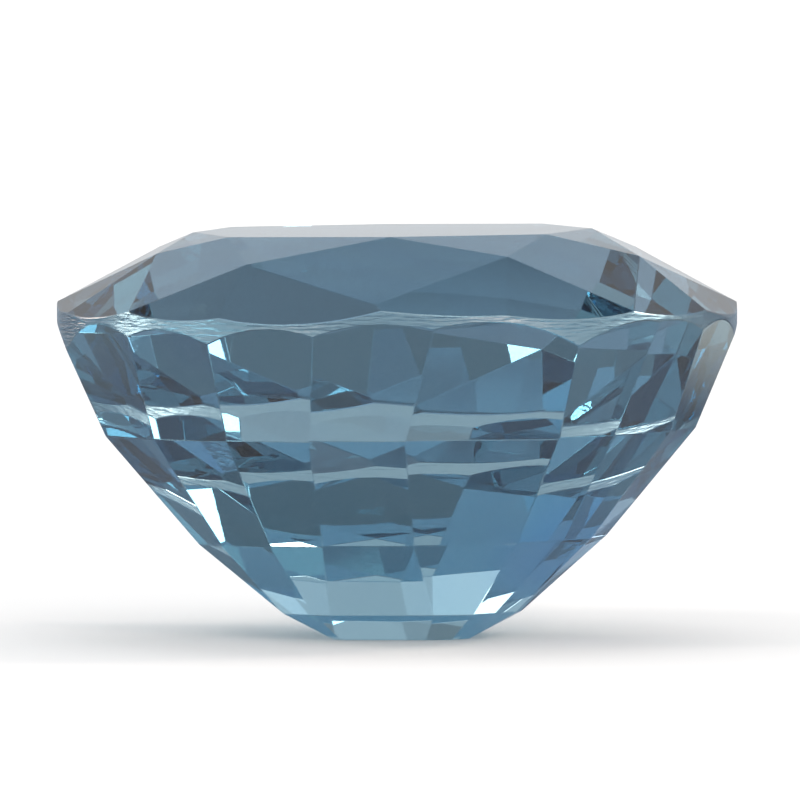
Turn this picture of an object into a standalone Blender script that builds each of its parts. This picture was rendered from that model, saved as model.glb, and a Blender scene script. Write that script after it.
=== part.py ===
"""A faceted blue sapphire: a brilliant crown over a four tier step cut pavilion.

The stone is cut as a lapidary cuts it. A prism with the girdle's outline is the preform, and every
facet is one flat cut through it. Lengths are in metres, +Z is up, +X runs along the stone, and the
front faces -Y. The culet rests on z = 0.
"""

import math

import bmesh
import bpy
from mathutils import Vector

MM = 0.001

# Overall size
LENGTH = 8.5 * MM
WIDTH = 7.8 * MM
CULET_DEPTH = 4.04 * MM
TABLE_HEIGHT = 1.035 * MM
TABLE_SLOPE = 0.01
OUTLINE_POWER_LEFT = 2.12
OUTLINE_POWER_RIGHT = 2.3
GIRDLE_SEGMENTS = 128
PREFORM_MARGIN = 0.6 * MM
CUT_TOLERANCE = 0.0001 * MM

# Crown, front half: a point is (x, depth towards the front, height above the girdle) in millimetres
TABLE_LEFT_X = -2.55
TABLE_RIGHT_X = 2.44
TABLE_FRONT_CORNERS = ((-2.09, 1.80), (-0.09, 2.28), (1.85, 1.87))
STAR_TIPS = ((-2.98, 1.26, 0.791), (-1.86, 2.86, 0.714), (1.36, 2.76, 0.81), (3.0, 1.64, 0.776))
MAIN_TIP_X = (-3.30, -0.275, 2.91)
MAIN_TIP_INSET = (0.012, 0.10, 0.012)
END_TIP_INSET = 0.005 * MM
BREAK_POINTS = ((-4.09, 0.05), (-2.19, 0.075), (1.33, 0.127), (3.82, 0.12))

# Pavilion: azimuth from the front, the angles of tiers 1 to 4, and the height in millimetres
# at which tier 1 meets the girdle. The far side mirrors the front. The tiers that stand steepest
# towards the front leave a culet as deep as it is long, so that the stone can rest on it.
PAVILION_FRONT = (
    (-58.0, (69.5, 52.0, 43.5, 30.5), -0.05),
    (-39.5, (68.5, 52.5, 44.5, 31.5), -0.08),
    (-18.0, (68.5, 53.0, 46.0, 33.0), -0.05),
    (-1.5, (67.0, 53.0, 45.5, 33.0), 0.02),
    (9.5, (65.0, 54.0, 47.5, 32.5), 0.05),
    (40.5, (65.0, 53.0, 45.0, 31.5), 0.03),
    (49.0, (64.5, 53.5, 44.0, 31.0), 0.03),
    (70.0, (67.5, 52.0, 43.0, 29.5), -0.01),
)
PAVILION_ENDS = (
    (-90.0, (65.5, 49.5, 39.5, 28.0), -0.10),
    (90.0, (67.5, 50.5, 42.0, 28.0), -0.12),
)
TIER_BREAK_HEIGHTS = (-1.44, -2.79, -3.70)
TIER_BREAK_TILTS = (0.012, 0.020, 0.006)

STONE_NAME = "sapphire"
STONE_COLOUR = (0.22, 0.40, 0.55, 1.0)
STONE_ROUGHNESS = 0.02
STONE_IOR = 1.77


def clear_scene():
    """Remove every object that the open file holds."""
    for item in list(bpy.data.objects):
        bpy.data.objects.remove(item, do_unlink=True)


def outline_power(x):
    """Return the power of the outline's curve: the right end is a little squarer."""
    return OUTLINE_POWER_LEFT if x < 0 else OUTLINE_POWER_RIGHT


def outline_point(angle):
    """Return the plan point where the outline faces the given azimuth."""
    half_x, half_y = LENGTH / 2, WIDTH / 2
    across, front = math.sin(angle), math.cos(angle)
    power = outline_power(across)
    share_x = (abs(across) * half_x) ** (1 / (power - 1))
    share_y = (abs(front) * half_y) ** (1 / (power - 1))
    reach = (share_x**power + share_y**power) ** (1 / power)
    x = math.copysign(share_x / reach * half_x, across)
    y = -math.copysign(share_y / reach * half_y, front)
    return Vector((x, y, 0))


def outline_front(x):
    """Return how far the outline stands towards the front at x."""
    power = outline_power(x)
    return WIDTH / 2 * (1 - abs(2 * x / LENGTH) ** power) ** (1 / power)


def facing(azimuth, incline):
    """Return the outward normal of a pavilion facet from its angles in degrees."""
    turn, lean = math.radians(azimuth), math.radians(incline)
    level = math.sin(lean)
    return Vector((math.sin(turn) * level, -math.cos(turn) * level, -math.cos(lean)))


def cut_through(a, b, c):
    """Return a crown cut through three points, as a point on it and its outward normal."""
    normal = (b - a).cross(c - a).normalized()
    if normal.z < 0:
        normal.negate()
    return a, normal


def table_point(x, front):
    """Return a point of the table, which leans a little to the left."""
    return Vector((x, -front, TABLE_HEIGHT + TABLE_SLOPE * x))


def mirrored(point):
    """Return the same point on the far side of the stone."""
    return Vector((point.x, -point.y, point.z))


def crown_points():
    """Return the front half's table corners, star tips, main tips and girdle break points."""
    corners = [table_point(x * MM, y * MM) for x, y in TABLE_FRONT_CORNERS]
    corners = [table_point(TABLE_LEFT_X * MM, 0), *corners, table_point(TABLE_RIGHT_X * MM, 0)]
    stars = [Vector((x * MM, -y * MM, z * MM)) for x, y, z in STAR_TIPS]
    tips = []
    for index, (x, inset) in enumerate(zip(MAIN_TIP_X, MAIN_TIP_INSET)):
        origin, normal = cut_through(corners[index + 1], stars[index], stars[index + 1])
        y = inset * MM - outline_front(x * MM)
        z = origin.z - (normal.x * (x * MM - origin.x) + normal.y * (y - origin.y)) / normal.z
        tips.append(Vector((x * MM, y, z)))
    breaks = [Vector((x * MM, -outline_front(x * MM), z * MM)) for x, z in BREAK_POINTS]
    return corners, stars, tips, breaks


def end_main(corner, star):
    """Return the main facet at one end, which spans both halves."""
    return cut_through(corner, star, mirrored(star))


def crown_cuts():
    """Return the table, 8 star, 8 main and 16 upper girdle cuts."""
    corners, stars, tips, breaks = crown_points()
    left = end_main(corners[0], stars[0])
    right = end_main(corners[4], stars[3])
    ends = []
    for (origin, normal), x in ((left, END_TIP_INSET - LENGTH / 2), (right, LENGTH / 2 - END_TIP_INSET)):
        ends.append(Vector((x, 0, origin.z - normal.x * (x - origin.x) / normal.z)))
    tips = [ends[0], *tips, ends[1]]
    half = []
    for index in range(4):
        half.append((corners[index], corners[index + 1], stars[index]))
        half.append((stars[index], breaks[index], tips[index]))
        half.append((stars[index], breaks[index], tips[index + 1]))
    for index in range(3):
        half.append((corners[index + 1], stars[index], stars[index + 1]))
    cuts = [cut_through(corners[0], corners[1], corners[3]), left, right]
    cuts += [cut_through(*points) for points in half]
    cuts += [cut_through(*[mirrored(point) for point in points]) for points in half]
    return cuts


def next_tier(cut, azimuth, incline, height, tilt):
    """Return the cut that meets the given one at a height, which rises by tilt along the stone."""
    point, normal = cut
    level = Vector((normal.x, normal.y, 0)) / (normal.x**2 + normal.y**2)
    offset = normal.dot(point)
    meet_height = height + tilt * level.x * (offset - normal.z * height)
    meet = level * (offset - normal.z * meet_height)
    meet.z = meet_height
    return meet, facing(azimuth, incline)


def pavilion_cuts():
    """Return the four tiers of the pavilion, with the far half a mirror of the front."""
    far = [(180 - azimuth, inclines, height) for azimuth, inclines, height in PAVILION_FRONT]
    cuts = []
    for azimuth, inclines, girdle_height in (*PAVILION_FRONT, *far, *PAVILION_ENDS):
        meet = outline_point(math.radians(azimuth))
        meet.z = girdle_height * MM
        cut = (meet, facing(azimuth, inclines[0]))
        cuts.append(cut)
        for incline, height, tilt in zip(inclines[1:], TIER_BREAK_HEIGHTS, TIER_BREAK_TILTS):
            cut = next_tier(cut, azimuth, incline, height * MM, tilt)
            cuts.append(cut)
    return cuts


def preform():
    """Return a prism with the girdle's outline, taller than the stone."""
    body = bmesh.new()
    ring = []
    for index in range(GIRDLE_SEGMENTS):
        point = outline_point(2 * math.pi * (index + 0.5) / GIRDLE_SEGMENTS)
        point.z = -CULET_DEPTH
        ring.append(body.verts.new(point))
    base = body.faces.new(ring)
    raised = bmesh.ops.extrude_face_region(body, geom=[base])["geom"]
    tops = [item for item in raised if isinstance(item, bmesh.types.BMVert)]
    rise = Vector((0, 0, CULET_DEPTH + TABLE_HEIGHT + PREFORM_MARGIN))
    bmesh.ops.translate(body, vec=rise, verts=tops)
    return body


def in_turn(corners, normal):
    """Return a convex face's corners in the order in which they follow each other around it.

    That order is by each corner's angle about their middle, seen along the normal, and it makes the
    face the same in every run.
    """
    middle = sum((corner.co for corner in corners), Vector()) / len(corners)
    ahead = normal.orthogonal().normalized()
    aside = normal.cross(ahead)
    angles = {}
    for corner in corners:
        arm = corner.co - middle
        angles[corner] = math.atan2(arm.dot(aside), arm.dot(ahead))
    return sorted(corners, key=angles.get)


def cut_facet(body, origin, normal):
    """Grind away what stands outside one plane and close the convex stone with one flat face."""
    every = body.verts[:] + body.edges[:] + body.faces[:]
    bmesh.ops.bisect_plane(
        body, geom=every, dist=CUT_TOLERANCE, plane_co=origin, plane_no=normal, clear_outer=True
    )
    rim = [corner for corner in body.verts if corner.is_boundary]
    if rim:
        body.faces.new(in_turn(rim, normal))


def sapphire_material():
    """Return a clear blue gem material."""
    material = bpy.data.materials.new("sapphire_crystal")
    material.use_nodes = True
    shader = material.node_tree.nodes["Principled BSDF"]
    shader.inputs["Base Color"].default_value = STONE_COLOUR
    shader.inputs["Roughness"].default_value = STONE_ROUGHNESS
    shader.inputs["Metallic"].default_value = 0.0
    shader.inputs["IOR"].default_value = STONE_IOR
    shader.inputs["Transmission Weight"].default_value = 1.0
    return material


def build_sapphire():
    """Cut the preform into the finished stone and stand its culet on z = 0."""
    body = preform()
    for origin, normal in (*crown_cuts(), *pavilion_cuts()):
        cut_facet(body, origin, normal)
    bmesh.ops.translate(body, vec=Vector((0, 0, CULET_DEPTH)), verts=body.verts)
    bmesh.ops.recalc_face_normals(body, faces=body.faces)
    mesh = bpy.data.meshes.new(STONE_NAME)
    body.to_mesh(mesh)
    body.free()
    mesh.materials.append(sapphire_material())
    stone = bpy.data.objects.new(STONE_NAME, mesh)
    bpy.context.scene.collection.objects.link(stone)
    return stone


def main():
    """Build the stone in an empty scene."""
    clear_scene()
    build_sapphire()


main()
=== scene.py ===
"""A cushion cut blue sapphire that stands on its culet in a soft light tent.

The file is laid out as an add-on and is run as a script. Its sidebar panel lists one operator that
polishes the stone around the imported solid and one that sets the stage. Lengths are in metres, +Z is
up, +X runs along the stone and its front faces -Y.
"""

import math

import bmesh
import bpy
import numpy as np
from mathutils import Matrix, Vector


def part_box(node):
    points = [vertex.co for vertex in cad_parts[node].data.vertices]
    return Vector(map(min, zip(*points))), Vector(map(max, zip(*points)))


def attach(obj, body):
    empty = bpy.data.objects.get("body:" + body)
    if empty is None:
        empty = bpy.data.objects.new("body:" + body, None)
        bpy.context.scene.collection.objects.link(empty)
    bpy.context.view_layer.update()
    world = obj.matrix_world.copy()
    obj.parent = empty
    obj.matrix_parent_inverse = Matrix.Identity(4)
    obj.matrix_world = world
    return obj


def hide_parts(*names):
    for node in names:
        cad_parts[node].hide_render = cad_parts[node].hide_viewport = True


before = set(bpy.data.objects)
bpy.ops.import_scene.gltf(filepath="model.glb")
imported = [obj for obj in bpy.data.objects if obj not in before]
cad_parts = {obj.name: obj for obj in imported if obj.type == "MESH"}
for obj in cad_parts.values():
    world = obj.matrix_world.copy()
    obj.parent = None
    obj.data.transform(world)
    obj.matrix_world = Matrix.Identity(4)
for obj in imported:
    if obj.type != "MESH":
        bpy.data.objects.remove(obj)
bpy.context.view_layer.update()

bl_info = {
    "name": "Cushion cut sapphire",
    "version": (1, 0, 0),
    "blender": (4, 5, 0),
    "location": "View3D > Sidebar > Sapphire",
    "description": "Polishes a cut sapphire and sets it in a soft light tent",
    "category": "Object",
}

MM = 0.001
NODE = "sapphire"
BODY = "root"
SLOT = "sapphire_crystal"
PIECE = "sapphire_stone"

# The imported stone: its box, and the height of the girdle's plane above the culet
LOW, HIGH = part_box(NODE)
GIRDLE_Z = 4.04 * MM
MIDDLE = Vector(((LOW.x + HIGH.x) / 2, (LOW.y + HIGH.y) / 2, GIRDLE_Z))

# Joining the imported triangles: corners closer than the first are one, and facets that differ by
# less than the second are one flat face. Edges sharper than the third get a polished land.
WELD_DISTANCE = 0.001 * MM
FLAT_ANGLE = math.radians(1.5)
EDGE_ANGLE = math.radians(3.2)
# Corners this near to the plane of a land lie on it
CUT_TOLERANCE = 0.0001 * MM
LAND_ATTRIBUTE = "edge_land"

# The girdle is where a normal is nearly level. Below the first height of the normal a face is shaded
# smooth, and over the second pair the girdle's finish fades into the polish of the facets.
GIRDLE_LEAN = 0.02
GIRDLE_FADE = (0.02, 0.08)

# The deeper growth zone low on the right: its middle and size, the noise that makes its rim ragged,
# in cells per metre, how far that pushes the rim, and where the zone fades, both in sizes
ZONE_CENTRE = (1.95 * MM, -1.2 * MM, 1.3 * MM)
ZONE_SIZE = 1.25 * MM
RIM_SCALE = 900.0
RIM_DETAIL = 1.0
RIM_PUSH = 0.6
ZONE_FADE = (0.6, 1.5)
# The straight growth bands: the direction across them, their width and their strength
BAND_TOWARDS = (0.5, 0.62, 0.6)
BAND_WIDTH = 0.09 * MM
BAND_DEPTH = 0.04

# Fine noise: its detail, and the stretch of it that is spread over 0 to 1
GRAIN_DETAIL = 3.0
GRAIN_SPREAD = (0.3, 0.7)
# The polish marks and the girdle's grooves, in cells per metre. The grooves run around the stone.
POLISH_SCALE = 2500.0
POLISH_SOFTNESS = 0.6
GROOVE_SCALE = 30000.0
GROOVE_SOFTNESS = 0.4
GROOVE_STRETCH = (0.14, 0.14, 1.0)
# The grooves' height, the polish marks' height as a share of it, and the roughness of a land
GROOVE_HEIGHT = 0.014 * MM
POLISH_SHARE = 0.008
LAND_ROUGHNESS = 0.15

# The picture: its side in pixels, the length one pixel covers at the stone, and the pixel where
# the middle of the girdle stands
PICTURE_SIDE = 800
PIXEL = 0.0125 * MM
GIRDLE_PIXEL = (397.0, 313.0)
SENSOR_WIDTH = 36.0
# The camera sees from this share of its distance on, as far as this many sides of the floor
NEAR_SHARE = 0.01
FAR_SIDES = 4
# How often light bounces in the stone and off it, and the brightest that a bounced sample may be
CRYSTAL_BOUNCES = 32
GLOSS_BOUNCES = 16
BRIGHTEST_BOUNCE = 8.0

WHITE = (1.0, 1.0, 1.0, 1.0)
LIGHT_DISTANCE = 3.0

# Softboxes that the stone shows: name, azimuth from the front and elevation in degrees, width as a
# share of the distance, and radiance
SOFTBOXES = (
    ("low_box", 25.5, 8.5, 0.26, 10.5),
    ("upper_box", 22.0, 28.5, 0.17, 15.0),
    ("side_box", 105.4, 38.2, 0.21, 12.0),
    ("back_box", 230.3, 12.5, 0.317, 5.0),
    ("left_box", 331.0, 10.0, 0.18, 8.0),
    ("far_box", 134.0, 15.0, 0.18, 8.0),
    ("high_box", 300.0, 55.0, 0.26, 3.0),
)
# The warm white of the boxes that the stone shows
BOX_COLOUR = (1.22, 1.0, 0.85)
# The overhead box lights the paper and isn't mirrored in the stone
PAPER_BOX = ("paper_box", 180.0, 72.0, 0.9, 1.4)

# The tent's brightness against the sine of the elevation, in front of the stone and behind it
TENT_COLOUR = (0.975, 1.0, 1.025, 1.0)
TENT_FRONT = (
    (0.0, 0.68),
    (0.17, 0.62),
    (0.5, 0.80),
    (0.707, 0.90),
    (0.85, 1.5),
    (0.93, 1.0),
    (0.97, 0.8),
)
TENT_BACK = (
    (0.0, 0.73),
    (0.17, 0.66),
    (0.57, 0.68),
    (0.74, 0.66),
    (0.83, 0.22),
    (0.93, 0.12),
    (0.975, 0.25),
    (0.992, 0.9),
)
# The part along +Y of a direction one long, over which the front gives way to the back
TENT_TURN = (-0.45, 0.25)
# The opening around the camera: its direction, and the cosines between which its edge fades
OPENING_TOWARDS = (0.0, -1.0, 0.04)
OPENING_EDGE = (0.85, 0.93)

# The paper: its roughness, its tooth in cells per metre, and how much paler the tooth's tips are
PAPER_ROUGHNESS = 0.9
TOOTH_SCALE = 60.0
TOOTH_SOFTNESS = 0.5
TIP_LIFT = 1.01

# The floor's painted shade as the stone shows it, against the distance behind the culet in metres.
# The dark stretch behind the culet is a painted shadow of the stone.
FLOOR_PAINTED_SHADES = (
    (-0.060, 0.42),
    (-0.025, 0.72),
    (-0.004, 0.74),
    (0.004, 0.46),
    (0.0075, 0.21),
    (0.015, 0.21),
    (0.030, 0.19),
    (0.045, 0.5),
)
# To the left and right that painted shade gives way to a paler painted tone, the floor painted as lit,
# over the first stretch along X. The left one turns into the right one over the second, and behind the
# stone both end over the third, along Y.
PAINTED_FLOOR_LEFT = (0.58, 0.82, 1.0, 1.0)
PAINTED_FLOOR_RIGHT = (0.86, 0.99, 1.0, 1.0)
PAINTED_SHADE_EDGE = (8.5 * MM, 12.0 * MM)
PAINTED_SIDES_TURN = (-1.0 * MM, 1.0 * MM)
PAINTED_SIDES_END = (12.0 * MM, 16.0 * MM)
# The painted shade's tint in front of the stone and behind it, where it paints the shadow bluish, and
# the stretch along Y over which one turns into the other
PAINTED_SHADE_FRONT_TINT = (0.88, 1.0, 1.14, 1.0)
PAINTED_SHADOW_TINT = (0.82, 1.02, 1.26, 1.0)
PAINTED_TINT_TURN = (-4.0 * MM, 3.0 * MM)


class CrystalSettings(bpy.types.PropertyGroup):
    """Sizes and colours of the polished stone."""

    edge_width: bpy.props.FloatProperty(
        name="Edge width",
        description="Width of the tiny polished land along every facet edge",
        default=0.016 * MM,
        precision=6,
        unit="LENGTH",
    )
    body_colour: bpy.props.FloatVectorProperty(
        name="Body colour",
        description="Colour that light keeps on its way through the crystal",
        default=(0.16, 0.50, 0.62),
        subtype="COLOR",
        min=0.0,
        max=1.0,
    )
    depth: bpy.props.FloatProperty(
        name="Colour depth",
        description="How strongly a metre of crystal takes up light",
        default=200.0,
        min=0.0,
    )
    index: bpy.props.FloatProperty(
        name="Refractive index",
        description="Refractive index of corundum",
        default=1.768,
        min=1.0,
    )
    zone_colour: bpy.props.FloatVectorProperty(
        name="Zone colour",
        description="Tint of the deeper blue growth zone low on the right",
        default=(0.64, 0.71, 1.0),
        subtype="COLOR",
        min=0.0,
        max=1.0,
    )
    polish: bpy.props.FloatProperty(
        name="Polish",
        description="Roughness that the last polish leaves on the facets",
        default=0.01,
        min=0.0,
        max=1.0,
        subtype="FACTOR",
    )
    girdle_roughness: bpy.props.FloatProperty(
        name="Girdle roughness",
        description="Roughness of the less polished girdle",
        default=0.28,
        min=0.0,
        max=1.0,
        subtype="FACTOR",
    )


class StudioSettings(bpy.types.PropertyGroup):
    """Sizes and strengths of the stage."""

    elevation: bpy.props.FloatProperty(
        name="Camera elevation",
        description="Angle of the camera above the girdle's plane",
        default=math.radians(2.4),
        subtype="ANGLE",
    )
    distance: bpy.props.FloatProperty(
        name="Camera distance",
        description="Distance of the camera from the middle of the stone",
        default=175.0 * MM,
        unit="LENGTH",
    )
    floor_side: bpy.props.FloatProperty(
        name="Floor side",
        description="Side of the pale floor",
        default=8.0,
        unit="LENGTH",
    )
    floor_gap: bpy.props.FloatProperty(
        name="Floor gap",
        description="How far the floor lies under the culet, so that the two faces don't coincide",
        default=0.004 * MM,
        precision=6,
        unit="LENGTH",
    )
    floor_colour: bpy.props.FloatVectorProperty(
        name="Floor colour",
        description="Colour of the pale paper floor",
        default=(0.915, 0.93, 0.94),
        subtype="COLOR",
        min=0.0,
        max=1.0,
    )
    opening: bpy.props.FloatProperty(
        name="Tent opening",
        description="Share of the tent's light that is left in the opening around the camera",
        default=0.6,
        min=0.0,
        max=1.0,
        subtype="FACTOR",
    )


def node(tree, kind, inputs=None, **settings):
    """Add a shader node; each input takes a plain value or the socket that feeds it."""
    made = tree.nodes.new("ShaderNode" + kind)
    for name, value in settings.items():
        setattr(made, name, value)
    for name, value in (inputs or {}).items():
        if isinstance(value, bpy.types.NodeSocket):
            tree.links.new(value, made.inputs[name])
        else:
            made.inputs[name].default_value = value
    return made


def maths(tree, operation, first, second=0.0, clamp=False):
    """Return the result of one math operation on two values or sockets."""
    made = node(tree, "Math", {0: first, 1: second}, operation=operation, use_clamp=clamp)
    return made.outputs[0]


def ranged(tree, value, start, end, low, high):
    """Return value carried from start..end to low..high with soft ends."""
    made = node(
        tree,
        "MapRange",
        {"Value": value, "From Min": start, "From Max": end, "To Min": low, "To Max": high},
        interpolation_type="SMOOTHSTEP",
    )
    return made.outputs["Result"]


def tinted(tree, share, first, second):
    """Return the colour that lies the given share of the way from the first to the second."""
    made = node(tree, "Mix", {"Factor": share, "A": first, "B": second}, data_type="RGBA")
    return made.outputs["Result"]


def profile(tree, place, levels):
    """Return the brightness at a place, on straight lines between the given (place, brightness)."""
    ramp = node(tree, "ValToRGB", {"Fac": place})
    stops = ramp.color_ramp.elements
    while len(stops) < len(levels):
        stops.new(1.0)
    for stop, (position, level) in zip(stops, levels):
        stop.position = position
        stop.color = (level, level, level, 1.0)
    return ramp.outputs["Color"]


def new_group(name, inputs, outputs):
    """Start a node group: inputs are (name, socket kind, default), outputs are (name, socket kind)."""
    tree = bpy.data.node_groups.new(name, "ShaderNodeTree")
    for label, kind, default in inputs:
        socket = tree.interface.new_socket(label, in_out="INPUT", socket_type="NodeSocket" + kind)
        if default is not None:
            socket.default_value = default
    for label, kind in outputs:
        tree.interface.new_socket(label, in_out="OUTPUT", socket_type="NodeSocket" + kind)
    return tree, tree.nodes.new("NodeGroupInput").outputs, tree.nodes.new("NodeGroupOutput").inputs


def place_group(tree, group, **inputs):
    """Put a node group into a material with its own values and return its outputs."""
    named = {name.replace("_", " "): value for name, value in inputs.items()}
    return node(tree, "Group", named, node_tree=group).outputs


def fine_grain_group():
    """Fine noise: Value runs from 0 to 1 and Height is the same noise about zero."""
    if "fine_grain" in bpy.data.node_groups:
        return bpy.data.node_groups["fine_grain"]
    tree, given, made = new_group(
        "fine_grain",
        [("Place", "Vector", None), ("Scale", "Float", 4000.0), ("Softness", "Float", 0.5)],
        [("Value", "Float"), ("Height", "Float")],
    )
    noise = node(
        tree,
        "TexNoise",
        {
            "Vector": given["Place"],
            "Scale": given["Scale"],
            "Detail": GRAIN_DETAIL,
            "Roughness": given["Softness"],
        },
    )
    spread = ranged(tree, noise.outputs["Fac"], *GRAIN_SPREAD, 0.0, 1.0)
    tree.links.new(spread, made["Value"])
    tree.links.new(maths(tree, "SUBTRACT", noise.outputs["Fac"], 0.5), made["Height"])
    return tree


def growth_zone_group():
    """Straight growth bands and one deeper zone: Tint is the colour that the surface lets through.

    The zone falls from 1 to 0 with the distance from its centre, in sizes, plus noise that makes its
    rim ragged. The bands are one plus the sine of the distance across them, times their depth. Tint
    lies the sum of both, as a share, of the way from white to the zone's colour.
    """
    tree, given, made = new_group(
        "growth_zone",
        [
            ("Place", "Vector", None),
            ("Zone Colour", "Color", (0.6, 0.8, 1.0, 1.0)),
            ("Zone Centre", "Vector", (0.0, 0.0, 0.0)),
            ("Zone Size", "Float", 0.001),
            ("Band Width", "Float", 0.001),
            ("Band Depth", "Float", 0.05),
        ],
        [("Tint", "Color")],
    )
    away = node(tree, "VectorMath", {0: given["Place"], 1: given["Zone Centre"]}, operation="DISTANCE")
    ragged = node(tree, "TexNoise", {"Vector": given["Place"], "Scale": RIM_SCALE, "Detail": RIM_DETAIL})
    reach = maths(tree, "DIVIDE", away.outputs["Value"], given["Zone Size"])
    reach = maths(tree, "ADD", reach, maths(tree, "MULTIPLY", ragged.outputs["Fac"], RIM_PUSH))
    zone = ranged(tree, reach, *ZONE_FADE, 1.0, 0.0)
    across = node(tree, "VectorMath", {0: given["Place"], 1: BAND_TOWARDS}, operation="DOT_PRODUCT")
    bands = maths(tree, "SINE", maths(tree, "DIVIDE", across.outputs["Value"], given["Band Width"]))
    bands = maths(tree, "MULTIPLY", maths(tree, "ADD", bands, 1.0), given["Band Depth"])
    share = maths(tree, "ADD", zone, bands, clamp=True)
    tree.links.new(tinted(tree, share, WHITE, given["Zone Colour"]), made["Tint"])
    return tree


def surface_finish(tree, place, settings):
    """Return the crystal's roughness and the height of its marks.

    The girdle's mask falls from 1 to 0 as the height of the normal grows. The roughness is the polish
    marks times the polish, plus the girdle's under its mask, plus the lands' under theirs. The height
    is a share of the polish marks, plus the grooves under the girdle's mask.
    """
    grain_group = fine_grain_group()
    polish = place_group(tree, grain_group, Place=place, Scale=POLISH_SCALE, Softness=POLISH_SOFTNESS)
    stretch = node(tree, "Mapping", {"Vector": place, "Scale": GROOVE_STRETCH}).outputs["Vector"]
    grooves = place_group(tree, grain_group, Place=stretch, Scale=GROOVE_SCALE, Softness=GROOVE_SOFTNESS)

    normal = node(tree, "NewGeometry").outputs["True Normal"]
    rise = maths(tree, "ABSOLUTE", node(tree, "SeparateXYZ", {0: normal}).outputs["Z"])
    girdle = ranged(tree, rise, *GIRDLE_FADE, 1.0, 0.0)
    land = node(tree, "Attribute", attribute_name=LAND_ATTRIBUTE).outputs["Fac"]

    roughness = ranged(tree, polish["Value"], 0.0, 1.0, 0.0, settings.polish)
    roughness = maths(tree, "ADD", roughness, maths(tree, "MULTIPLY", girdle, settings.girdle_roughness))
    roughness = maths(tree, "ADD", roughness, maths(tree, "MULTIPLY", land, LAND_ROUGHNESS))
    height = maths(tree, "MULTIPLY", polish["Height"], POLISH_SHARE)
    height = maths(tree, "ADD", height, maths(tree, "MULTIPLY", grooves["Height"], girdle))
    return roughness, height


def crystal_material(settings):
    """Clear blue corundum: plain transmission, refraction and absorption, with a worn girdle."""
    material = bpy.data.materials.new(SLOT + "_polished")
    material.use_nodes = True
    tree = material.node_tree
    shader = tree.nodes["Principled BSDF"]
    shader.inputs["IOR"].default_value = settings.index
    shader.inputs["Transmission Weight"].default_value = 1.0

    place = node(tree, "TexCoord").outputs["Object"]
    zone = place_group(
        tree,
        growth_zone_group(),
        Place=place,
        Zone_Colour=(*settings.zone_colour, 1.0),
        Zone_Centre=ZONE_CENTRE,
        Zone_Size=ZONE_SIZE,
        Band_Width=BAND_WIDTH,
        Band_Depth=BAND_DEPTH,
    )
    roughness, height = surface_finish(tree, place, settings)
    bump = node(tree, "Bump", {"Height": height, "Strength": 1.0, "Distance": GROOVE_HEIGHT})
    body = {"Color": (*settings.body_colour, 1.0), "Density": settings.depth}
    absorption = node(tree, "VolumeAbsorption", body)

    tree.links.new(zone["Tint"], shader.inputs["Base Color"])
    tree.links.new(roughness, shader.inputs["Roughness"])
    tree.links.new(bump.outputs["Normal"], shader.inputs["Normal"])
    tree.links.new(absorption.outputs["Volume"], tree.nodes["Material Output"].inputs["Volume"])
    return material


def painted_floor_shade(tree, place):
    """Return the painted light and shade of the floor as the stone shows it.

    It is the profile of the distance behind the culet, a painted shadow darkest behind the stone,
    times a tint that turns from the front one into the one behind. Far to the left and right, paler
    painted side tones take its place.
    """
    parts = node(tree, "SeparateXYZ", {0: place}).outputs
    start, end = FLOOR_PAINTED_SHADES[0][0], FLOOR_PAINTED_SHADES[-1][0]
    share = maths(tree, "DIVIDE", maths(tree, "SUBTRACT", parts["Y"], start), end - start, clamp=True)
    # Painted shade: the stone's painted shadow lies behind the culet
    shade = profile(tree, share, [((y - start) / (end - start), level) for y, level in FLOOR_PAINTED_SHADES])
    # The painted shadow turns bluer behind the stone
    tint = tinted(tree, ranged(tree, parts["Y"], *PAINTED_TINT_TURN, 0.0, 1.0), PAINTED_SHADE_FRONT_TINT, PAINTED_SHADOW_TINT)
    shade = node(tree, "VectorMath", {0: shade, 1: tint}, operation="MULTIPLY").outputs["Vector"]
    # Beside the painted shadow the floor is painted paler, as if lit
    beside = ranged(tree, maths(tree, "ABSOLUTE", parts["X"]), *PAINTED_SHADE_EDGE, 0.0, 1.0)
    beside = maths(tree, "MULTIPLY", beside, ranged(tree, parts["Y"], *PAINTED_SIDES_END, 1.0, 0.0))
    sides = tinted(tree, ranged(tree, parts["X"], *PAINTED_SIDES_TURN, 0.0, 1.0), PAINTED_FLOOR_LEFT, PAINTED_FLOOR_RIGHT)
    return tinted(tree, beside, shade, sides)


def paper_material(settings):
    """Matt paper with a faint tooth, white to the camera and painted as grey as a shaded table to the
    stone.

    The picture's background is plain white, while the stone's own facets show a darker floor around it:
    its painted shade and painted shadow.
    """
    material = bpy.data.materials.new("pale_paper_painted_shade")
    material.use_nodes = True
    tree = material.node_tree
    shader = tree.nodes["Principled BSDF"]
    shader.inputs["Roughness"].default_value = PAPER_ROUGHNESS
    shader.inputs["Specular IOR Level"].default_value = 0.0
    place = node(tree, "TexCoord").outputs["Object"]
    tooth = place_group(tree, fine_grain_group(), Place=place, Scale=TOOTH_SCALE, Softness=TOOTH_SOFTNESS)
    pale = (*settings.floor_colour, 1.0)
    paler = (*[channel * TIP_LIFT for channel in settings.floor_colour], 1.0)
    paper = tinted(tree, tooth["Value"], pale, paler)
    # Camera rays see the paper; all other rays see the painted floor shade
    seen = node(tree, "LightPath").outputs["Is Camera Ray"]
    colour = tinted(tree, seen, painted_floor_shade(tree, place), paper)
    tree.links.new(colour, shader.inputs["Base Color"])
    return material


def welded_stone(source):
    """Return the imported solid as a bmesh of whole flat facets."""
    body = bmesh.new()
    body.from_mesh(source.data)
    bmesh.ops.remove_doubles(body, verts=body.verts, dist=WELD_DISTANCE)
    bmesh.ops.dissolve_limit(body, angle_limit=FLAT_ANGLE, verts=body.verts, edges=body.edges)
    body.normal_update()
    return body


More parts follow.
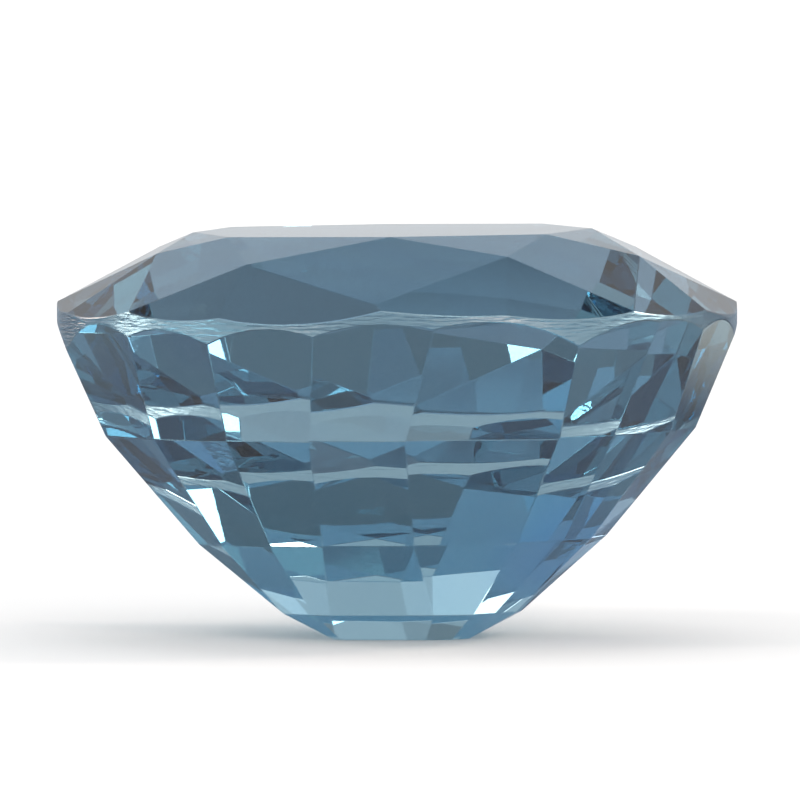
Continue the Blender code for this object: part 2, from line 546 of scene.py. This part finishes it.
def land_planes(body, width):
    """Return the plane that polishes a land of the given width along each facet edge.

    The plane leans halfway between the edge's two facets. It lies under the edge by half the width
    times the tangent of half the angle between them, where it cuts both facets that width apart.
    """
    planes = []
    for edge in body.edges:
        one, two = (face.normal for face in edge.link_faces)
        angle = one.angle(two)
        if angle > EDGE_ANGLE:
            normal = (one + two).normalized()
            middle = edge.verts[0].co.lerp(edge.verts[1].co, 0.5)
            planes.append((middle - normal * (width / 2 * math.tan(angle / 2)), normal))
    return planes


def in_turn(corners, normal):
    """Return a convex face's corners in the order in which they follow each other around it.

    That order is by each corner's angle about their middle, seen along the normal, and it makes the
    face the same in every run.
    """
    middle = sum((corner.co for corner in corners), Vector()) / len(corners)
    ahead = normal.orthogonal().normalized()
    aside = normal.cross(ahead)
    angles = {}
    for corner in corners:
        arm = corner.co - middle
        angles[corner] = math.atan2(arm.dot(aside), arm.dot(ahead))
    return sorted(corners, key=angles.get)


def grind_land(body, layer, origin, normal):
    """Take away what stands outside one plane, close the stone and mark the new face as a land."""
    every = body.verts[:] + body.edges[:] + body.faces[:]
    bmesh.ops.bisect_plane(
        body, geom=every, dist=CUT_TOLERANCE, plane_co=origin, plane_no=normal, clear_outer=True
    )
    rim = [corner for corner in body.verts if corner.is_boundary]
    if rim:
        body.faces.new(in_turn(rim, normal))[layer] = 1.0


def polish_stone(context, settings):
    """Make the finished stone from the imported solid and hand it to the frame."""
    body = welded_stone(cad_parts[NODE])
    layer = body.faces.layers.float.new(LAND_ATTRIBUTE)
    for origin, normal in land_planes(body, settings.edge_width):
        grind_land(body, layer, origin, normal)
    body.normal_update()
    for face in body.faces:
        face.smooth = abs(face.normal.z) < GIRDLE_LEAN
    mesh = bpy.data.meshes.new(PIECE)
    body.to_mesh(mesh)
    body.free()
    stone = bpy.data.objects.new(PIECE, mesh)
    context.scene.collection.objects.link(stone)
    mesh.materials.append(crystal_material(settings))
    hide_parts(NODE)
    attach(stone, BODY)


def square_floor(settings):
    """Return the floor's mesh: a square grid of corners from the outer product of two rows."""
    steps = np.linspace(-settings.floor_side / 2, settings.floor_side / 2, 3)
    across, along = np.meshgrid(steps, steps, indexing="ij")
    corners = np.stack([across, along, np.full_like(across, LOW.z - settings.floor_gap)], axis=-1)
    index = np.arange(corners[..., 0].size).reshape(across.shape)
    faces = np.stack([index[:-1, :-1], index[1:, :-1], index[1:, 1:], index[:-1, 1:]], axis=-1)
    mesh = bpy.data.meshes.new("floor")
    mesh.from_pydata(corners.reshape(-1, 3).tolist(), [], faces.reshape(-1, 4).tolist())
    return mesh


def facing_direction(azimuth, elevation):
    """Return the direction that stands at an azimuth from the front and an elevation, in degrees.

    Its height is the elevation's sine, and its level part is the elevation's cosine long.
    """
    turn, rise = math.radians(azimuth), math.radians(elevation)
    return Vector((math.sin(turn) * math.cos(rise), -math.cos(turn) * math.cos(rise), math.sin(rise)))


def hang_softbox(context, name, azimuth, elevation, share, radiance, mirrored=True):
    """Hang a round softbox that faces the stone and stays out of the picture.

    Its power is its radiance times pi times its area.
    """
    light = bpy.data.lights.new(name, "AREA")
    light.shape = "DISK"
    light.size = share * LIGHT_DISTANCE
    light.energy = radiance * math.pi * math.pi * light.size**2 / 4
    light.color = BOX_COLOUR if mirrored else WHITE[:3]
    lamp = bpy.data.objects.new(name, light)
    towards = facing_direction(azimuth, elevation)
    lamp.location = MIDDLE + towards * LIGHT_DISTANCE
    lamp.rotation_mode = "QUATERNION"
    lamp.rotation_quaternion = towards.to_track_quat("Z", "Y")
    lamp.visible_camera = False
    lamp.visible_glossy = mirrored
    lamp.visible_transmission = mirrored
    context.scene.collection.objects.link(lamp)


def light_tent(settings):
    """Return the world: a pale tent whose brightness changes softly with direction.

    Each half's brightness is its profile of the direction's height. The front half gives way to the
    back half along +Y, and around the camera the sum is multiplied by the opening's share.
    """
    world = bpy.data.worlds.new("light_tent")
    world.use_nodes = True
    tree = world.node_tree
    towards = node(tree, "TexCoord").outputs["Generated"]
    parts = node(tree, "SeparateXYZ", {0: towards}).outputs
    front = profile(tree, parts["Z"], TENT_FRONT)
    back = profile(tree, parts["Z"], TENT_BACK)
    tent = ranged(tree, parts["Y"], *TENT_TURN, front, back)
    opening = node(tree, "VectorMath", {0: towards, 1: OPENING_TOWARDS}, operation="DOT_PRODUCT")
    left = ranged(tree, opening.outputs["Value"], *OPENING_EDGE, 1.0, settings.opening)
    tent = maths(tree, "MULTIPLY", tent, left)
    background = tree.nodes["Background"]
    background.inputs["Color"].default_value = TENT_COLOUR
    tree.links.new(tent, background.inputs["Strength"])
    return world


def set_camera(context, settings):
    """Place the camera at the picture's angle, with the girdle's middle on its own pixel.

    The lens is the sensor's width times the distance, over the width that the picture covers.
    """
    data = bpy.data.cameras.new("camera")
    data.sensor_width = SENSOR_WIDTH
    data.lens = SENSOR_WIDTH * settings.distance / (PIXEL * PICTURE_SIDE)
    data.clip_start = settings.distance * NEAR_SHARE
    data.clip_end = settings.floor_side * FAR_SIDES
    camera = bpy.data.objects.new("camera", data)
    context.scene.collection.objects.link(camera)
    back = facing_direction(0.0, math.degrees(settings.elevation))
    up = Vector((0.0, math.sin(settings.elevation), math.cos(settings.elevation)))
    girdle = Vector((0.0, 0.0, GIRDLE_Z))
    aim = girdle + Vector((PICTURE_SIDE / 2 - GIRDLE_PIXEL[0], 0.0, 0.0)) * PIXEL
    aim -= up * (PICTURE_SIDE / 2 - GIRDLE_PIXEL[1]) * PIXEL
    camera.location = girdle + back * settings.distance
    camera.rotation_mode = "QUATERNION"
    camera.rotation_quaternion = (aim - camera.location).to_track_quat("-Z", "Y")
    context.scene.camera = camera


def set_light_paths(scene):
    """Let light bounce often enough inside the stone, and show it as it falls on the sensor."""
    scene.view_settings.view_transform = "Standard"
    scene.cycles.max_bounces = CRYSTAL_BOUNCES
    scene.cycles.transmission_bounces = CRYSTAL_BOUNCES
    scene.cycles.glossy_bounces = GLOSS_BOUNCES
    scene.cycles.sample_clamp_indirect = BRIGHTEST_BOUNCE
    scene.cycles.use_denoising = True
    scene.cycles.denoising_input_passes = "RGB"


class SAPPHIRE_OT_stone(bpy.types.Operator):
    """Polish the stone: flat facets, tiny lands along their edges, and clear blue crystal"""

    bl_idname = "sapphire.stone"
    bl_label = "Polish the stone"

    def execute(self, context):
        polish_stone(context, context.scene.sapphire_crystal)
        return {"FINISHED"}


class SAPPHIRE_OT_studio(bpy.types.Operator):
    """Set the stage: a pale floor, a soft light tent with its boxes, and the camera"""

    bl_idname = "sapphire.studio"
    bl_label = "Set the stage"

    def execute(self, context):
        settings = context.scene.sapphire_studio
        mesh = square_floor(settings)
        mesh.materials.append(paper_material(settings))
        floor = bpy.data.objects.new("floor", mesh)
        context.scene.collection.objects.link(floor)
        context.scene.world = light_tent(settings)
        for box in SOFTBOXES:
            hang_softbox(context, *box)
        hang_softbox(context, *PAPER_BOX, mirrored=False)
        set_camera(context, settings)
        set_light_paths(context.scene)
        return {"FINISHED"}


class SAPPHIRE_PT_panel(bpy.types.Panel):
    """The sidebar panel: each operator under the settings that it reads"""

    bl_idname = "SAPPHIRE_PT_panel"
    bl_label = "Sapphire"
    bl_space_type = "VIEW_3D"
    bl_region_type = "UI"
    bl_category = "Sapphire"

    def draw(self, context):
        scene = context.scene
        for operator, settings in (
            (SAPPHIRE_OT_stone, scene.sapphire_crystal),
            (SAPPHIRE_OT_studio, scene.sapphire_studio),
        ):
            column = self.layout.box().column()
            for name in type(settings).__annotations__:
                column.prop(settings, name)
            column.operator(operator.bl_idname)


CLASSES = (CrystalSettings, StudioSettings, SAPPHIRE_OT_stone, SAPPHIRE_OT_studio, SAPPHIRE_PT_panel)


def register():
    """Register the classes and hang the settings on the scene."""
    for entry in CLASSES:
        bpy.utils.register_class(entry)
    bpy.types.Scene.sapphire_crystal = bpy.props.PointerProperty(type=CrystalSettings)
    bpy.types.Scene.sapphire_studio = bpy.props.PointerProperty(type=StudioSettings)


def unregister():
    """Take the settings off the scene and unregister the classes."""
    del bpy.types.Scene.sapphire_studio
    del bpy.types.Scene.sapphire_crystal
    for entry in reversed(CLASSES):
        bpy.utils.unregister_class(entry)


def main():
    """Build the stage and the stone."""
    register()
    bpy.ops.sapphire.studio()
    bpy.ops.sapphire.stone()


if __name__ == "__main__":
    main()
